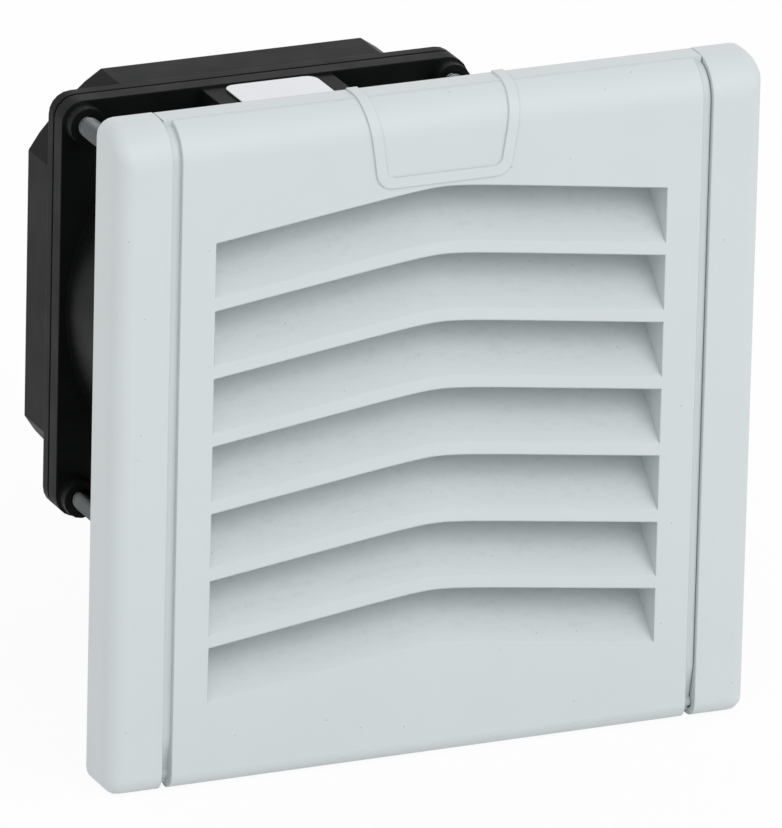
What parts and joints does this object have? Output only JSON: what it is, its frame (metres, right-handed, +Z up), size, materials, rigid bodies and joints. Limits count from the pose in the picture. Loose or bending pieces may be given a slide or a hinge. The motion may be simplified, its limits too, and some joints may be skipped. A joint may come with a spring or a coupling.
{
  "type": "cabinet filter fan",
  "caption": "Square louvred filter face with a hinged chevron cover, a housing for a panel cut-out and a compact axial fan screwed behind it.",
  "frame": {"origin": "centre of the panel cut-out, in the plane of the panel's outer face", "axes": "+X right seen from outside, +Y into the cabinet along the fan's axis, +Z up"},
  "size_m": [0.1164, 0.09, 0.1168],
  "materials": {
    "pale_plastic": "fine matt moulded light grey plastic",
    "black_casting": "black painted die casting",
    "black_plastic": "black glass-filled plastic",
    "zinc_steel": "bright zinc-plated steel",
    "plain_steel": "plain steel",
    "enamelled_copper": "enamelled copper wire",
    "tinned_brass": "tinned brass",
    "filter_fleece": "chopped synthetic fibre fleece",
    "gasket_foam": "closed-cell foam",
    "bare_sticker": "bare silver-white sticker"
  },
  "bodies": {
    "housing": {"base_frame": "pale_plastic", "filter_mat": "filter_fleece", "filter_support_grid": "pale_plastic", "panel_gasket": "gasket_foam", "fan_frame": "black_casting", "fan_label": "bare_sticker", "bearing_front": "plain_steel", "bearing_rear": "plain_steel", "bearing_spacer": "zinc_steel", "stator_core": "plain_steel", "terminal_block": "black_plastic", "terminal_tab_1": "tinned_brass", "terminal_tab_2": "tinned_brass", "earth_tab": "tinned_brass", "earth_screw": "zinc_steel", "fan_screw_1": "zinc_steel", "stator_coil_1": "enamelled_copper", "fan_screw_2": "zinc_steel", "stator_coil_2": "enamelled_copper", "fan_screw_3": "zinc_steel", "stator_coil_3": "enamelled_copper", "fan_screw_4": "zinc_steel", "stator_coil_4": "enamelled_copper"},
    "cover": {"louvre_cover": "pale_plastic"},
    "rotor": {"impeller": "black_plastic", "rotor_cup": "plain_steel", "rotor_shaft": "plain_steel", "shaft_clip": "plain_steel"},
    "clip_1": {"snap_clip_1": "black_plastic"},
    "clip_2": {"snap_clip_2": "black_plastic"},
    "clip_3": {"snap_clip_3": "black_plastic"},
    "clip_4": {"snap_clip_4": "black_plastic"}
  },
  "joints": [
    {"name": "cover_hinge", "type": "hinge", "parent": "housing", "child": "cover", "pos_m": [0, -0.0066, -0.05555], "axis": [1, 0, 0], "range_deg": [0, 90]},
    {"name": "impeller_spin", "type": "hinge", "parent": "housing", "child": "rotor", "pos_m": [0, 0.06, 0], "axis": [0, 1, 0], "continuous": true},
    {"name": "clip_1_press", "type": "hinge", "parent": "housing", "child": "clip_1", "pos_m": [0, 0.0178, 0.044], "axis": [1, 0, 0], "range_deg": [0, 6], "stiffness_Nm_per_rad": 0.3},
    {"name": "clip_2_press", "type": "hinge", "parent": "housing", "child": "clip_2", "pos_m": [0.044, 0.0178, 0], "axis": [0, 0, -1], "range_deg": [0, 6], "stiffness_Nm_per_rad": 0.3},
    {"name": "clip_3_press", "type": "hinge", "parent": "housing", "child": "clip_3", "pos_m": [0, 0.0178, -0.044], "axis": [-1, 0, 0], "range_deg": [0, 6], "stiffness_Nm_per_rad": 0.3},
    {"name": "clip_4_press", "type": "hinge", "parent": "housing", "child": "clip_4", "pos_m": [-0.044, 0.0178, 0], "axis": [0, 0, 1], "range_deg": [0, 6], "stiffness_Nm_per_rad": 0.3}
  ]
}
